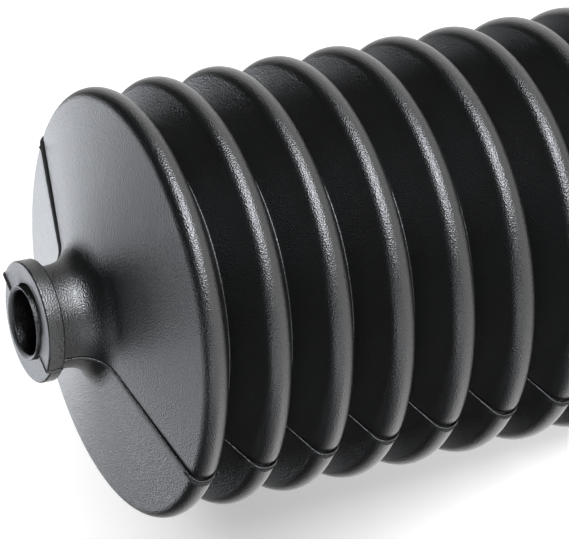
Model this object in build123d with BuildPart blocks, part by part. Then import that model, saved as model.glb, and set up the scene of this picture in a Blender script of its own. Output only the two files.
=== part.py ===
from build123d import *
from math import radians, tan
import os

os.makedirs("parts", exist_ok=True)

# A moulded rubber bellows boot in millimetres. It stands on its wide cuff, its axis is Z,
# and the parting plane of its mould is XZ, with the small collar at the top.

# Folds
crest_count = 9
pitch = 15.4
crest_radius = 50.0
crest_land = 4.5
root_radius = 38.8
root_wall = 2.0
crest_wall = 3.4

# Wide cuff, which slips over a housing and takes a clamp round it
cuff_height = 14.0
cuff_bore_radius = 37.5
cuff_wall = 3.5

# Front wall, from the last crest in to the neck
front_wall_angle = 12.2
front_wall_rise = 2.6
front_wall = 2.2
neck_blend_radius = 8.0

# Neck and collar, whose face the two mould halves left at two heights
neck_radius = 11.9
neck_length = 10.0
collar_radius = 14.1
collar_length = 4.0
face_step = 0.9
bore_radius = 7.4

# Thin flared lip round the bore, and the crescent recess beside it
lip_radius = 8.6
lip_height = 0.7
lip_flare = 1.0
lip_flare_depth = 0.7
crescent_radius = 7.3
crescent_offset = 3.1
crescent_depth = 1.5

# Places that follow from the sizes
cuff_radius = cuff_bore_radius + cuff_wall
flank_slope = (pitch - crest_land) / 2 / (crest_radius - root_radius)
first_crest = cuff_height + (crest_radius - cuff_radius) * flank_slope + crest_land / 2
crests = [first_crest + fold * pitch for fold in range(crest_count)]
front_edge = crests[-1] + front_wall_rise
front_slope = tan(radians(front_wall_angle))
neck_foot = front_edge + (crest_radius - neck_radius) * front_slope
collar_foot = neck_foot + neck_length
face = collar_foot + collar_length
bore_foot = neck_foot + (neck_radius - bore_radius) * front_slope - front_wall


def outside():
    """The outside of the section, as points of radius and height from the cuff up to the last crest."""
    points = [(cuff_bore_radius, 0), (cuff_radius, 0), (cuff_radius, cuff_height)]
    for crest in crests[:-1]:
        points.append((crest_radius, crest - crest_land / 2))
        points.append((crest_radius, crest + crest_land / 2))
        points.append((root_radius, crest + pitch / 2))
    points.append((crest_radius, crests[-1] - crest_land / 2))
    points.append((crest_radius, front_edge))
    return points


def inside():
    """The inside of the section, from the foot of the small bore down through the folds to the cuff."""
    points = [(bore_radius, bore_foot)]
    for crest in reversed(crests):
        points.append((crest_radius - crest_wall, crest))
        points.append((root_radius - root_wall, crest - pitch / 2))
    points[-1] = (cuff_bore_radius, first_crest - pitch / 2)
    points.append((cuff_bore_radius, 0))
    return points


with BuildPart() as bellows_boot:
    # One turn of the section gives the folds, the front wall, the neck and the collar
    with BuildSketch(Plane.XZ):
        with BuildLine():
            Polyline(*outside())
            FilletPolyline(
                (crest_radius, front_edge),
                (neck_radius, neck_foot),
                (neck_radius, collar_foot),
                radius=neck_blend_radius,
            )
            Polyline(
                (neck_radius, collar_foot),
                (collar_radius, collar_foot),
                (collar_radius, face),
                (lip_radius, face),
                (lip_radius, face + lip_height),
                (bore_radius + lip_flare, face + lip_height),
                (bore_radius, face + lip_height - lip_flare_depth),
                (bore_radius, bore_foot),
            )
            Polyline(*inside())
        make_face()
    revolve(axis=Axis.Z)

    # One half of the collar's face lies lower than the other, up to the lip
    with BuildSketch(Plane.XY.offset(face)):
        Rectangle(3 * collar_radius, 2 * collar_radius, align=(Align.CENTER, Align.MIN))
        Circle(lip_radius, mode=Mode.SUBTRACT)
    extrude(amount=-face_step, mode=Mode.SUBTRACT)

    # The crescent recess lies against the lip in the higher half
    with BuildSketch(Plane.XY.offset(face)):
        with Locations((0, -crescent_offset)):
            Circle(crescent_radius)
        Circle(lip_radius, mode=Mode.SUBTRACT)
    extrude(amount=-crescent_depth, mode=Mode.SUBTRACT)

bellows_boot.part.label = "bellows_boot"
export_step(bellows_boot.part, "parts/bellows_boot.step")
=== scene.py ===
# %% [markdown]
# # A moulded rubber bellows boot
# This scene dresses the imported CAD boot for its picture. The boot is one piece of black rubber,
# moulded in two halves: nine round folds, a front wall, a neck and a small collar with a bore.
# The CAD model has the boot's true sizes but sharp edges. So this lesson builds the skin that is
# seen: the same form with round crests, a parting line and the torn rubber along it.

# %% Load the frame
from math import ceil, cos, exp, pi, radians, sin, sqrt, tan

import bmesh
import bpy
from mathutils import Matrix, Vector, noise


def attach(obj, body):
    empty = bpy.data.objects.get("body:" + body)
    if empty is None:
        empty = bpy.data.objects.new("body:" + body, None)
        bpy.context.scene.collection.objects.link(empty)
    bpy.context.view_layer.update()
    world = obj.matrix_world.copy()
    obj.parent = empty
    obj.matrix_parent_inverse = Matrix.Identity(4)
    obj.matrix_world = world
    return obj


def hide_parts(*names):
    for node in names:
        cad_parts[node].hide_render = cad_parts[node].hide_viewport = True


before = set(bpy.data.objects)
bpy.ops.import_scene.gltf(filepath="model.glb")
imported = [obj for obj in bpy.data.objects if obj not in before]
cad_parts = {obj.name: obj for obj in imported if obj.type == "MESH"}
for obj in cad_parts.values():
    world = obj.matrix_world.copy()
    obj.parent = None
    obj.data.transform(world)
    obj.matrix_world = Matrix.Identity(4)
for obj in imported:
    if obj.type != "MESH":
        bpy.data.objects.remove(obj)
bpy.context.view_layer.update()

# %% [markdown]
# ## The boot's sizes
# A part like this is drawn as one half section, so a short list of sizes gives all of it. They
# are in millimetres, as a drawing has them. The boot stands on its wide cuff with its axis
# upright, and the parting plane of its mould is XZ.

# %% Driving sizes in millimetres
MM = 0.001
CREST_COUNT = 9
PITCH = 15.4
CREST_RADIUS = 50.0
CREST_LAND = 4.5
ROOT_RADIUS = 38.8
ROOT_WALL = 2.0
CREST_WALL = 3.4
CUFF_HEIGHT = 14.0
CUFF_BORE_RADIUS = 37.5
CUFF_WALL = 3.5
FRONT_WALL_ANGLE = 12.2
FRONT_WALL_RISE = 2.6
FRONT_WALL = 2.2
NECK_RADIUS = 11.9
NECK_LENGTH = 10.0
COLLAR_RADIUS = 14.1
COLLAR_LENGTH = 4.0
BORE_RADIUS = 7.4
LIP_RADIUS = 8.6
LIP_HEIGHT = 0.7
LIP_FLARE = 1.0
LIP_FLARE_DEPTH = 0.7
print("folds:", CREST_COUNT, "at a pitch of", PITCH, "mm")

# %% [markdown]
# The other sizes follow from these, from the cuff's foot upward. A change of the pitch or of the
# number of folds therefore moves everything that lies above, as it would on the drawing.

# %% Sizes that follow
CUFF_RADIUS = CUFF_BORE_RADIUS + CUFF_WALL
FLANK_SLOPE = (PITCH - CREST_LAND) / 2 / (CREST_RADIUS - ROOT_RADIUS)
FIRST_CREST = CUFF_HEIGHT + (CREST_RADIUS - CUFF_RADIUS) * FLANK_SLOPE + CREST_LAND / 2
CRESTS = [FIRST_CREST + fold * PITCH for fold in range(CREST_COUNT)]
FRONT_EDGE = CRESTS[-1] + FRONT_WALL_RISE
FRONT_SLOPE = tan(radians(FRONT_WALL_ANGLE))
NECK_FOOT = FRONT_EDGE + (CREST_RADIUS - NECK_RADIUS) * FRONT_SLOPE
COLLAR_FOOT = NECK_FOOT + NECK_LENGTH
FACE = COLLAR_FOOT + COLLAR_LENGTH
LIP_TOP = FACE + LIP_HEIGHT
BORE_FOOT = NECK_FOOT + (NECK_RADIUS - BORE_RADIUS) * FRONT_SLOPE - FRONT_WALL
print(f"boot height {LIP_TOP:.2f} mm, last crest at {CRESTS[-1]:.1f} mm")

# %% [markdown]
# ## Rounded edges
# A rubber moulding has hardly a sharp edge. The crests are full bulbs, the roots between them
# are tight, and the rims have the small radius that a cutter leaves in the mould. A Bevel
# modifier would round all edges alike. Here each corner of the section has a radius of its own
# and becomes a short arc that leaves both of its sides at a tangent, so the light runs smoothly
# over the crests.

# %% Round the corners of a section
ARC_STEP = 0.22


def rounded(corners):
    """Points of radius and height along the corners, with an arc at each corner with a radius."""
    points = []
    for index, (r, z, radius) in enumerate(corners):
        here = Vector((r, z))
        if radius == 0 or index in (0, len(corners) - 1):
            points.append(here)
            continue
        back = (Vector(corners[index - 1][:2]) - here).normalized()
        ahead = (Vector(corners[index + 1][:2]) - here).normalized()
        half = back.angle(ahead) / 2
        centre = here + (back + ahead).normalized() * radius / sin(half)
        start = here + back * radius / tan(half) - centre
        turn = (here + ahead * radius / tan(half) - centre).angle_signed(start)
        count = max(2, ceil(abs(turn) / ARC_STEP))
        for step in range(count + 1):
            angle = turn * step / count
            points.append(centre + Matrix.Rotation(angle, 2) @ start)
    return points


print("degrees between the points of an arc, at most:", round(ARC_STEP * 180 / pi, 1))

# %% [markdown]
# ## Outside of the section
# The outside runs from the flat foot of the cuff, over the folds and the front wall, up the neck
# to the collar's face. The neck flows out of the front wall with a wide radius, because rubber
# that flexes would tear at a sharp corner there.

# %% Outside corners
CREST_ROUND = 3.55
FRONT_ROUND = 3.15
ROOT_ROUND = 0.22
NECK_ROUND = 8.0
COLLAR_ROOT_ROUND = 0.7
RIM_ROUND = 0.45
CUFF_FOOT_ROUND = 0.6
CUFF_SHOULDER_ROUND = 1.5
FOOT_MARGIN = 1.5
FACE_MARGIN = 1.2


def outside_corners():
    """Corners of the outside, from the foot of the cuff up to the rim of the collar's face."""
    corners = [
        (CUFF_RADIUS - FOOT_MARGIN, 0, 0),
        (CUFF_RADIUS, 0, CUFF_FOOT_ROUND),
        (CUFF_RADIUS, CUFF_HEIGHT, CUFF_SHOULDER_ROUND),
    ]
    for crest in CRESTS[:-1]:
        corners.append((CREST_RADIUS, crest - CREST_LAND / 2, CREST_ROUND))
        corners.append((CREST_RADIUS, crest + CREST_LAND / 2, CREST_ROUND))
        corners.append((ROOT_RADIUS, crest + PITCH / 2, ROOT_ROUND))
    corners.append((CREST_RADIUS, CRESTS[-1] - CREST_LAND / 2, CREST_ROUND))
    corners.append((CREST_RADIUS, FRONT_EDGE, FRONT_ROUND))
    corners.append((NECK_RADIUS, NECK_FOOT, NECK_ROUND))
    corners.append((NECK_RADIUS, COLLAR_FOOT, COLLAR_ROOT_ROUND))
    corners.append((COLLAR_RADIUS, COLLAR_FOOT, RIM_ROUND))
    corners.append((COLLAR_RADIUS, FACE, RIM_ROUND))
    corners.append((COLLAR_RADIUS - FACE_MARGIN, FACE, 0))
    return corners


outside = rounded(outside_corners())
print("points on the outside:", len(outside))

# %% [markdown]
# ## Inside of the section
# The inside follows the folds with a thin wall at the roots, where the boot flexes, and a thick
# one at the crests. Only the bore's first millimetres are seen, so the corners of the folds
# stay sharp inside and cost few faces. A thin lip that flares a little stands round the bore.

# %% Inside corners
LIP_BEVEL_HEIGHT = 0.1
LIP_BEVEL_WIDTH = 0.06
FLARE_ROUND = 0.5
BORE_FOOT_ROUND = 1.5
CUFF_BORE_ROUND = 0.5


def inside_corners():
    """Corners of the lip and the inside, from the top of the lip down to the foot of the cuff."""
    corners = [
        (LIP_RADIUS, LIP_TOP - LIP_BEVEL_HEIGHT, 0),
        (LIP_RADIUS - LIP_BEVEL_WIDTH, LIP_TOP, 0),
        (BORE_RADIUS + LIP_FLARE, LIP_TOP, 0),
        (BORE_RADIUS, LIP_TOP - LIP_FLARE_DEPTH, FLARE_ROUND),
        (BORE_RADIUS, BORE_FOOT, BORE_FOOT_ROUND),
    ]
    for crest in reversed(CRESTS):
        corners.append((CREST_RADIUS - CREST_WALL, crest, 0))
        corners.append((ROOT_RADIUS - ROOT_WALL, crest - PITCH / 2, 0))
    corners[-1] = (CUFF_BORE_RADIUS, CRESTS[0] - PITCH / 2, 0)
    corners.append((CUFF_BORE_RADIUS, 0, CUFF_BORE_ROUND))
    corners.append((CUFF_BORE_RADIUS + FOOT_MARGIN, 0, 0))
    return corners


inside = rounded(inside_corners())
print("points on the inside:", len(inside))

# %% [markdown]
# ## The collar's face
# Two things on the face aren't round. One mould half left its side of the face 0.9 mm lower, and
# a crescent recess lies against the lip in the higher half. A Boolean modifier could cut both,
# but it leaves long thin faces that shade badly. So each upright column of the mesh works out
# its own points on the face, from its angle round the axis.

# %% Face of the collar, column by column
FACE_STEP = 0.9
CRESCENT_RADIUS = 7.3
CRESCENT_OFFSET = 3.1
CRESCENT_DEPTH = 1.5
CRESCENT_WIDTH = CRESCENT_OFFSET + CRESCENT_RADIUS - LIP_RADIUS
CRESCENT_RAMP = 2.5
CRESCENT_WALL = 0.9
EDGE_MARGIN = 0.12
EDGE_BEVEL = 0.1


def crescent_edge(angle):
    """Radius of the crescent's outer edge in this direction, or the lip's where there is none."""
    toward = -sin(angle) * CRESCENT_OFFSET
    across = cos(angle) * CRESCENT_OFFSET
    reach = toward + sqrt(max(CRESCENT_RADIUS**2 - across**2, 0))
    return max(reach, LIP_RADIUS)


def face_points(angle, lower_half):
    """Points of one column from the flat face in to the lip, down through the crescent."""
    level = FACE - FACE_STEP if lower_half else FACE
    edge = LIP_RADIUS if lower_half else crescent_edge(angle)
    depth = CRESCENT_DEPTH * min(1, CRESCENT_RAMP * (edge - LIP_RADIUS) / CRESCENT_WIDTH)
    bevel = EDGE_BEVEL * min(1, depth)
    return [
        Vector((edge + EDGE_MARGIN, level)),
        Vector((edge, level - bevel)),
        Vector((edge, level - depth * CRESCENT_WALL)),
        Vector((edge - bevel, level - depth)),
        Vector((LIP_RADIUS, level - depth)),
    ]


print("crescent at its widest, in mm:", round(CRESCENT_WIDTH, 2))

# %% [markdown]
# ## Hollow along the parting line
# The two mould halves never meet quite flush. The rubber shrinks from the seam and leaves a fine
# hollow beside it, which the eye reads as a dark line. At each crest it is pinched in a little
# more, on one side only. On the far side of the boot the line is broader.
# A line drawn in the material would stay flat in the highlights, so the hollow is in the mesh:
# each point of the outside moves in along its normal by a bell curve of its distance from the
# parting plane.

# %% Hollow beside the seam
GROOVE_DEPTH = 0.28
GROOVE_WIDTH = 0.5
FAR_GROOVE_DEPTH = 0.5
FAR_GROOVE_WIDTH = 0.8
PINCH_DEPTH = 0.55
PINCH_WIDTH = 1.8
PINCH_REACH = 4.2
PINCH_FADE = 1.6


def normals_along(points):
    """Outward normal of a section at each of its points."""
    normals = []
    for index in range(len(points)):
        along = points[min(index + 1, len(points) - 1)] - points[max(index - 1, 0)]
        normals.append(Vector((along.y, -along.x)).normalized())
    return normals


def crest_share(point):
    """How far a point of the section belongs to a crest, from 0 on a flank to 1 on the crest."""
    nearest = min(abs(point.y - crest) for crest in CRESTS)
    return min(max((PINCH_REACH - nearest) / PINCH_FADE, 0), 1)


def seam_dip(point, angle, lower_half):
    """Depth of the hollow beside the parting line at a point of the outside."""
    is_far = cos(angle) > 0
    depth = FAR_GROOVE_DEPTH if is_far else GROOVE_DEPTH
    width = FAR_GROOVE_WIDTH if is_far else GROOVE_WIDTH
    away = abs(point.x * sin(angle))
    groove = depth * exp(-((away / width) ** 2))
    if lower_half:
        return groove
    pinch = PINCH_DEPTH * exp(-((away / PINCH_WIDTH) ** 2)) * crest_share(point)
    return groove + pinch


outside_normals = normals_along(outside)
print("hollow on a crest, in mm:", round(seam_dip(Vector((CREST_RADIUS, CRESTS[0])), pi, False), 2))

# %% [markdown]
# ## Columns of the mesh
# The columns stand round the axis like the staves of a barrel. They crowd together at the
# parting plane, where the hollow is only half a millimetre wide. There are two at each end of
# the plane, one for each mould half, so the step in the collar's face has an upright edge.

# %% Points of a column
COLUMN_COUNT = 290
COLUMN_CROWDING = 0.11
SEAM_MARGIN = 1


def column_directions():
    """Angle of each column, and whether the column is in the half with the lower face."""
    half = COLUMN_COUNT // 2
    shares = [step / half for step in range(half + 1)]
    turns = [pi * (share - COLUMN_CROWDING * sin(2 * pi * share)) for share in shares]
    return [(pi + turn, False) for turn in turns] + [(turn, True) for turn in turns]


def column(angle, lower_half):
    """Every point of one column of the boot, as radius and height."""
    points = []
    for point, normal in zip(outside, outside_normals):
        on_rim = point.y > FACE - 2 * RIM_ROUND
        drop = FACE_STEP if lower_half and on_rim else 0
        on_seam = SEAM_MARGIN < point.y < FACE - SEAM_MARGIN
        dip = seam_dip(point, angle, lower_half) if on_seam else 0
        points.append(Vector((point.x, point.y - drop)) - normal * dip)
    return points + face_points(angle, lower_half) + inside


directions = column_directions()
print("columns:", len(directions), "with", len(column(pi, False)), "points each")

# %% [markdown]
# ## Mesh of the boot
# The outside, the face and the inside of a column join into one closed loop, and quads between
# neighbouring loops close the boot. Where two columns share a place their points are merged, and
# the normals are then turned outward, which gives one closed skin for the render.

# %% Mesh tools
MERGE_DISTANCE = 1e-6
SLIVER = 1e-7


def new_piece(name, vertices, faces):
    """A smooth closed mesh object from vertices in millimetres, with its faces turned outward."""
    mesh = bpy.data.meshes.new(name)
    mesh.from_pydata([MM * Vector(vertex) for vertex in vertices], [], faces)
    work = bmesh.new()
    work.from_mesh(mesh)
    bmesh.ops.remove_doubles(work, verts=work.verts, dist=MERGE_DISTANCE)
    bmesh.ops.dissolve_degenerate(work, edges=work.edges, dist=SLIVER)
    bmesh.ops.recalc_face_normals(work, faces=work.faces)
    work.to_mesh(mesh)
    work.free()
    mesh.shade_smooth()
    piece = bpy.data.objects.new(name, mesh)
    bpy.context.collection.objects.link(piece)
    return piece


def loop_faces(rows, length, closed_rows=True):
    """Quads between neighbouring rows of a grid whose points run round in a loop."""
    faces = []
    for row in range(rows if closed_rows else rows - 1):
        here = row * length
        following = (row + 1) % rows * length
        for point in range(length):
            ahead = (point + 1) % length
            faces.append((here + point, following + point, following + ahead, here + ahead))
    return faces


print("points closer than this are merged, in mm:", MERGE_DISTANCE / MM)


# %% Build the boot's skin
def build_boot():
    """The whole boot as one closed mesh."""
    vertices = []
    for angle, lower_half in directions:
        points = column(angle, lower_half)
        vertices += [(p.x * cos(angle), p.x * sin(angle), p.y) for p in points]
    return new_piece("boot_skin", vertices, loop_faces(len(directions), len(points)))


boot = build_boot()
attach(boot, "root")
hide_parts("bellows_boot")
print("boot faces:", len(boot.data.polygons))

# %% [markdown]
# ## Parting rib
# Where the mould halves met, a fine bead of rubber runs up both sides of the boot, over every
# fold, the front wall, the neck and the collar. A curve with a bevel could draw it, but a curve
# twists at the tight roots. A small ring of points is set square to the skin at each step of the
# section instead. Its middle lies a little under the skin, so only the top of the bead shows,
# and a slow noise makes it stand out unevenly, as a worn mould does.

# %% Parting ribs
NEAR_RIB_WIDTH = 0.55
FAR_RIB_WIDTH = 0.9
RIB_SINK = 0.05
RIB_RAGGEDNESS = 0.35
RIB_WAVES_PER_MM = 0.4
RIB_SIDES = 8
RIB_START = 0.7
RIB_STEP = 0.6
SIDE_SEED = 7


def outside_path():
    """The outside of the section in even short steps, as points and outward normals."""
    route = [point for point in outside if point.y > RIB_START] + [Vector((LIP_RADIUS, FACE))]
    points = [route[0]]
    for target in route[1:]:
        start = points[-1]
        count = max(1, ceil((target - start).length / RIB_STEP))
        points += [start.lerp(target, step / count) for step in range(1, count + 1)]
    return points, normals_along(points)


def build_rib(name, side, width):
    """A bead of rubber on the outside at one end of the parting plane."""
    points, normals = outside_path()
    vertices = []
    for point, normal in zip(points, normals):
        place = Vector((point.x, point.y, side * SIDE_SEED)) * RIB_WAVES_PER_MM
        middle = point - normal * RIB_SINK * (1 + RIB_RAGGEDNESS * noise.noise(place))
        for corner in range(RIB_SIDES):
            angle = 2 * pi * corner / RIB_SIDES
            spot = middle + normal * width / 2 * sin(angle)
            vertices.append((side * spot.x, width / 2 * cos(angle), spot.y))
    faces = loop_faces(len(points), RIB_SIDES, closed_rows=False)
    first = tuple(range(RIB_SIDES))
    last = tuple(len(vertices) - RIB_SIDES + index for index in first)
    return new_piece(name, vertices, faces + [first, last])


near_rib = build_rib("parting_rib_near", -1, NEAR_RIB_WIDTH)
far_rib = build_rib("parting_rib_far", 1, FAR_RIB_WIDTH)
print("faces of each rib:", len(near_rib.data.polygons), "and", len(far_rib.data.polygons))

# %% [markdown]
# ## Torn tabs
# At each crest more rubber was squeezed out between the mould halves. It was torn off by hand,
# which leaves a thin ragged tab beside the seam. Each tab is a small pad on the crest: high at
# the seam, lower away from it, thin at both tips, with noise for the torn surface. The tab of
# the fold at the front wall is longer, because it runs on over the edge of that wall.

# %% Crest tabs
TAB_LENGTH = 5.6
TAB_WIDTH = 1.35
FRONT_TAB_LENGTH = 8.0
FRONT_TAB_WIDTH = 1.8
TAB_HEIGHT = 0.45
TAB_SLOPE = 0.55
TAB_FULLNESS = 0.7
TAB_TIP = 0.03
TAB_SIDES = 5
TAB_STEPS = 24
TAB_ROOT = 0.7
TAB_FOOT = 1.05
TEAR_DEPTH = 0.16
TEARS_ALONG = 1.9
TEARS_ACROSS = 3.1
BULB_LIMIT = 0.98


def crest_ground(height, crest):
    """Radius of the outside at a height near a crest."""
    off = min(abs(height - crest), CREST_ROUND * BULB_LIMIT)
    return CREST_RADIUS - CREST_ROUND + sqrt(CREST_ROUND**2 - off**2)


def build_tab(name, crest, side, length, width):
    """The torn edge of squeezed out rubber beside the parting line, over one crest."""
    vertices = []
    for step in range(TAB_STEPS + 1):
        share = step / TAB_STEPS
        swell = max(sin(pi * share) ** TAB_FULLNESS, TAB_TIP)
        height = crest + (share - 0.5) * length
        ground = crest_ground(height, crest)
        for place in range(TAB_SIDES + 1):
            across = place / TAB_SIDES
            spot = Vector((height * TEARS_ALONG, across * TEARS_ACROSS, crest + side))
            tear = TEAR_DEPTH * noise.noise(spot)
            lift = TAB_HEIGHT * swell * (1 - TAB_SLOPE * across) + tear * swell
            vertices.append((side * (ground + lift), across * width * swell, height))
        vertices.append((side * (ground - TAB_ROOT), width * swell * TAB_FOOT, height))
        vertices.append((side * (ground - TAB_ROOT), 0, height))
    around = TAB_SIDES + 3
    faces = loop_faces(TAB_STEPS + 1, around, closed_rows=False)
    first = tuple(range(around))
    last = tuple(around * TAB_STEPS + index for index in range(around))
    return new_piece(name, vertices, faces + [first, last])


flash = [near_rib, far_rib]
for fold, crest in enumerate(CRESTS):
    is_front = fold == CREST_COUNT - 1
    length = FRONT_TAB_LENGTH if is_front else TAB_LENGTH
    width = FRONT_TAB_WIDTH if is_front else TAB_WIDTH
    flash.append(build_tab(f"crest_tab_near_{fold + 1}", crest, -1, length, width))
    flash.append(build_tab(f"crest_tab_far_{fold + 1}", crest, 1, length, width))
for piece in flash:
    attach(piece, "root")
print("pieces of flash:", len(flash))

# %% [markdown]
# ## Tools for the materials
# Colours are written as they look, in sRGB hex, and one function turns them into the linear
# values that shaders count with. Another adds a node, sets its options and fills its inputs,
# each with a plain value or with the output of another node.

# %% Material tools
def linear(hex_colour):
    """An sRGB colour written in hex, as the linear values that a shader takes."""
    values = [int(hex_colour[place:place + 2], 16) / 255 for place in (1, 3, 5)]
    lit = [v / 12.92 if v <= 0.04045 else ((v + 0.055) / 1.055) ** 2.4 for v in values]
    return (*lit, 1.0)


def add_node(tree, kind, settings=None, inputs=None):
    """One shader node with its settings and its inputs, each a value or another node's output."""
    node = tree.nodes.new(kind)
    for name, value in (settings or {}).items():
        setattr(node, name, value)
    for name, value in (inputs or {}).items():
        if isinstance(value, bpy.types.NodeSocket):
            tree.links.new(value, node.inputs[name])
        else:
            node.inputs[name].default_value = value
    return node


def new_material(name):
    """An empty node material and its node tree."""
    material = bpy.data.materials.new(name)
    material.use_nodes = True
    material.node_tree.nodes.clear()
    return material, material.node_tree


print("sRGB #808080 is", round(linear("#808080")[0], 3), "in linear light")

# %% [markdown]
# ## Moulded rubber
# The boot is black rubber filled with soot, pressed in a steel mould. The mould was spark
# eroded, and its fine pits print on the skin as a grain. The eye gets a deep black with a satin
# sheen: wide soft streaks where a lamp is mirrored, broken up by small glints.
#
# - Grain: rounded Voronoi cells as a bump. The real grain is about a fifth of a millimetre and
#   would be lost between pixels, so its cells are drawn 0.33 mm wide.
# - Waves: a slow and shallow noise, because a thin rubber wall never cools quite flat.
# - Bloom: the pale dust that sulphur leaves lifts the black a little, in patches.
#
# Roughness and IOR start from the usual values for rubber, 0.5 and 1.52. They were then matched
# to the streaks on the folds and to the black of the grooves, which a duller skin would grey.

# %% Black rubber as it leaves the mould
GRAIN_CELL = 0.33 * MM
GRAIN_SMOOTHNESS = 0.4
WAVE_LENGTH = 9 * MM
WAVE_DEPTH = 0.3 * MM
WAVE_STRENGTH = 0.15
BLOOM_PATCH = 22 * MM
BLOOM_BEGINS = 0.35
BLOOM_IS_FULL = 0.75
RUBBER_IOR = 1.58


def moulded_rubber(name, dark, light, roughness, grain_depth):
    """Rubber between a dark shade and a bloomed one, with grain of a depth in millimetres."""
    material, tree = new_material(name)
    place = add_node(tree, "ShaderNodeTexCoord").outputs["Object"]
    grain = add_node(tree, "ShaderNodeTexVoronoi", {"feature": "SMOOTH_F1"},
                     {"Vector": place, "Scale": 1 / GRAIN_CELL, "Smoothness": GRAIN_SMOOTHNESS})
    waves = add_node(tree, "ShaderNodeTexNoise", None,
                     {"Vector": place, "Scale": 1 / WAVE_LENGTH, "Detail": 2.0})
    bloom = add_node(tree, "ShaderNodeTexNoise", None,
                     {"Vector": place, "Scale": 1 / BLOOM_PATCH, "Detail": 4.0,
                      "Roughness": 0.62})
    shade = add_node(tree, "ShaderNodeValToRGB", None, {"Fac": bloom.outputs["Fac"]})
    shade.color_ramp.elements[0].position = BLOOM_BEGINS
    shade.color_ramp.elements[0].color = linear(dark)
    shade.color_ramp.elements[1].position = BLOOM_IS_FULL
    shade.color_ramp.elements[1].color = linear(light)
    soft = add_node(tree, "ShaderNodeBump", None,
                    {"Height": waves.outputs["Fac"], "Strength": WAVE_STRENGTH,
                     "Distance": WAVE_DEPTH})
    fine = add_node(tree, "ShaderNodeBump", None,
                    {"Height": grain.outputs["Distance"], "Strength": 1.0,
                     "Distance": grain_depth * MM, "Normal": soft.outputs["Normal"]})
    skin = add_node(tree, "ShaderNodeBsdfPrincipled", None,
                    {"Base Color": shade.outputs["Color"], "Roughness": roughness,
                     "IOR": RUBBER_IOR, "Normal": fine.outputs["Normal"]})
    add_node(tree, "ShaderNodeOutputMaterial", None, {"Surface": skin.outputs["BSDF"]})
    return material


rubber = moulded_rubber("moulded_rubber", "#060606", "#0a0b0b", 0.28, 0.08)
boot.data.materials.append(rubber)
near_rib.data.materials.append(rubber)
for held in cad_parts["bellows_boot"].material_slots:
    held.material = rubber
print("material:", rubber.name, "on", boot.name, "and", near_rib.name)

# %% [markdown]
# ## Torn rubber
# Where the flash was torn or trimmed off, the rubber never touched the mould. Such an edge is
# crumbly and dull and looks darker than the skin round it. It is the same rubber with a coarse
# deep grain and hardly any sheen. It goes on the tabs and on the far side's rib, which was
# trimmed as a broad dull strip. The near rib kept its moulded skin.

# %% Rubber where the flash was torn off
torn_rubber = moulded_rubber("torn_rubber", "#030303", "#101010", 0.75, 0.5)
for piece in flash:
    if piece is not near_rib:
        piece.data.materials.append(torn_rubber)
print("material:", torn_rubber.name, "on", len(flash) - 1, "pieces")

# %% [markdown]
# ## Floor
# The boot stands on its cuff on white paper. The camera looks down steeply enough that the paper
# also fills the picture behind the boot. Where the camera sees it, or sees it mirrored in metal
# or through glass, it glows a little, so it reads as white and still takes the boot's shadow.
# The glow lights nothing else, so the boot's own shading stays plain.

# %% White paper under the boot
FLOOR_REACH = 4000
SEEN_GLOW = 0.33


def white_paper():
    """Matt white paper that glows a little wherever it is seen or mirrored."""
    material, tree = new_material("white_paper")
    rays = add_node(tree, "ShaderNodeLightPath")
    seen = rays.outputs["Is Camera Ray"]
    for kind in ("Is Glossy Ray", "Is Transmission Ray"):
        either = add_node(tree, "ShaderNodeMath", {"operation": "MAXIMUM"},
                          {0: seen, 1: rays.outputs[kind]})
        seen = either.outputs["Value"]
    strength = add_node(tree, "ShaderNodeMath", {"operation": "MULTIPLY"},
                        {0: seen, 1: SEEN_GLOW})
    paper = add_node(tree, "ShaderNodeBsdfDiffuse", None, {"Color": linear("#f2f2f2")})
    glow = add_node(tree, "ShaderNodeEmission", None,
                    {"Color": linear("#ffffff"), "Strength": strength.outputs["Value"]})
    both = add_node(tree, "ShaderNodeAddShader", None,
                    {0: paper.outputs["BSDF"], 1: glow.outputs["Emission"]})
    add_node(tree, "ShaderNodeOutputMaterial", None, {"Surface": both.outputs["Shader"]})
    return material


def build_floor():
    """One wide square of paper at the height of the cuff's foot."""
    far = FLOOR_REACH
    corners = [(-far, -far, 0), (far, -far, 0), (far, far, 0), (-far, far, 0)]
    mesh = bpy.data.meshes.new("floor")
    mesh.from_pydata([MM * Vector(corner) for corner in corners], [], [(0, 1, 2, 3)])
    mesh.materials.append(white_paper())
    floor = bpy.data.objects.new("floor", mesh)
    bpy.context.collection.objects.link(floor)
    return floor


floor = build_floor()
print("floor width in m:", 2 * FLOOR_REACH * MM)

# %% [markdown]
# ## World
# A world that is nearly dark stands for the far walls of the room. It keeps the deepest grooves
# from going fully black and adds no direction of its own.

# %% Dim white room
ROOM_STRENGTH = 0.05
world = bpy.data.worlds.new("studio")
bpy.context.scene.world = world
world.use_nodes = True
room = world.node_tree.nodes["Background"]
room.inputs["Color"].default_value = linear("#ffffff")
room.inputs["Strength"].default_value = ROOM_STRENGTH
print("strength of the room:", ROOM_STRENGTH)

# %% [markdown]
# ## Camera
# The camera lies on its side, so the upright boot reaches from left to right across the picture,
# with the collar at the left. Its lens is long, 233 mm on a 36 mm sensor, from 0.86 m away, which
# keeps the folds nearly equal in size. It aims at the boot's axis, in the third groove below the
# collar. Its turn, tilt and roll are written as angles, and its matrix is worked out from them.

# %% Camera
AZIMUTH = 32.23
ELEVATION = 24.03
ROLL = -101.06
AIM = Vector((-0.58, -1.96, 104.03)) * MM
DISTANCE = 858.6 * MM
LENS = 233.49
SENSOR_WIDTH = 36
FARTHEST_SEEN = 20


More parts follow.
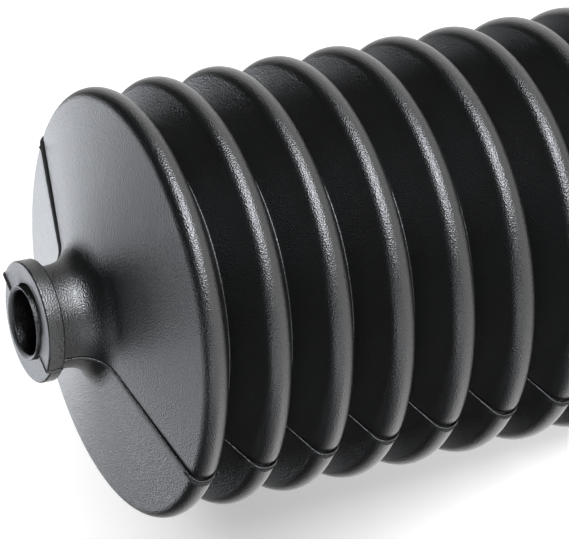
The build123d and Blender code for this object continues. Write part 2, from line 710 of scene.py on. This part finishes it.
def camera_axes():
    """The picture's right, up and backward directions in the boot's frame."""
    turn, tilt, roll = radians(AZIMUTH), radians(ELEVATION), radians(ROLL)
    ahead = Vector((sin(turn) * cos(tilt), cos(turn) * cos(tilt), -sin(tilt)))
    level = ahead.cross(Vector((0, 0, 1))).normalized()
    upright = level.cross(ahead)
    right = level * cos(roll) + upright * sin(roll)
    return right, right.cross(ahead), -ahead


RIGHT, UP, BACK = camera_axes()
camera = bpy.data.objects.new("camera", bpy.data.cameras.new("camera"))
bpy.context.collection.objects.link(camera)
camera.data.lens = LENS
camera.data.sensor_width = SENSOR_WIDTH
camera.data.clip_end = FARTHEST_SEEN
axes = Matrix((RIGHT, UP, BACK)).transposed()
camera.matrix_world = Matrix.Translation(AIM + BACK * DISTANCE) @ axes.to_4x4()
bpy.context.scene.camera = camera
print("picture's right", [round(v, 3) for v in RIGHT], "up", [round(v, 3) for v in UP])

# %% [markdown]
# ## Lamps
# Black rubber shows its form only by what it mirrors, so each lamp is a softbox whose mirror
# image falls on one part of the boot. A softbox strong enough for that would burn out the white
# floor, and a floor lit for white would throw light into the grooves. A studio solves this with
# black flags between them. Blender solves it with light linking: every lamp has a collection of
# receivers, and lights nothing else. One group of lamps here lights the boot, the other the floor.

# %% Softboxes and what they light
MIDDLE = Vector((0, 0, 0.1))
COOL = linear("#f4f8ff")[:3]
WHITE = linear("#ffffff")[:3]


def lit_things(name, things):
    """A collection of the things that a lamp may light."""
    group = bpy.data.collections.new(name)
    for thing in things:
        group.objects.link(thing)
    return group


def soft_light(name, direction, distance, size, power, lights, colour=COOL):
    """A rectangular softbox that faces the boot's middle from one direction."""
    lamp = bpy.data.lights.new(name, "AREA")
    lamp.shape = "RECTANGLE"
    lamp.size = size[0]
    lamp.size_y = size[1]
    lamp.energy = power
    lamp.color = colour
    holder = bpy.data.objects.new(name, lamp)
    bpy.context.collection.objects.link(holder)
    away = Vector(direction).normalized()
    holder.location = MIDDLE + away * distance
    holder.rotation_euler = away.to_track_quat("Z", "Y").to_euler()
    holder.light_linking.receiver_collection = lights
    return holder


boot_alone = lit_things("boot_alone", [boot, *flash])
floor_alone = lit_things("floor_alone", [floor])

# %% [markdown]
# The boot's lamps are placed by what each one has to show. The side strip draws the long bright
# streak down every fold. The back and horizon panels fill the front wall, brightest at its far
# edge. The left, top and low fills shade the neck, the upper crests and the lower half of the
# wall. The near key gives the small highlight on the neck.

# %% Lamps of the boot
soft_light("side_strip", (0.06, -0.94, 0.08), 0.75, (0.60, 0.30), 11.0, boot_alone)
soft_light("back_panel", (0.50, 0.70, 0.54), 0.85, (0.75, 0.6), 3.5, boot_alone)
soft_light("horizon_panel", (0.62, 0.77, 0.12), 0.85, (0.35, 0.26), 0.8, boot_alone)
soft_light("left_fill", (-0.90, -0.20, 0.38), 0.8, (0.6, 0.65), 2.9, boot_alone)
soft_light("top_panel", (-0.05, 0.33, 0.94), 0.8, (0.5, 0.5), 1.5, boot_alone)
soft_light("low_fill", (-0.79, 0.58, 0.20), 0.9, (0.8, 0.5), 0.5, boot_alone)
soft_light("near_key", (-0.28, -0.90, 0.34), 1.0, (0.4, 0.4), 1.5, boot_alone)
print("lamps so far:", len(bpy.data.lights))

# %% [markdown]
# The floor has a large lamp far off, which makes the paper white and casts the boot's soft
# shadow, and a small one close to the paper, which clears the corner beside the front wall.

# %% Lamps of the floor
soft_light("floor_lamp", (-0.36, -0.84, 0.41), 3.0, (0.5, 0.5), 235.0, floor_alone, WHITE)
soft_light("near_floor_lamp", (-0.40, 0.10, 0.05), 0.42, (0.2, 0.2), 2.0, floor_alone, WHITE)
print("lamps in all:", len(bpy.data.lights))

# %% [markdown]
# ## Finish
# The Standard view keeps the colours as they are written.

# %% Finish
bpy.context.scene.view_settings.view_transform = "Standard"
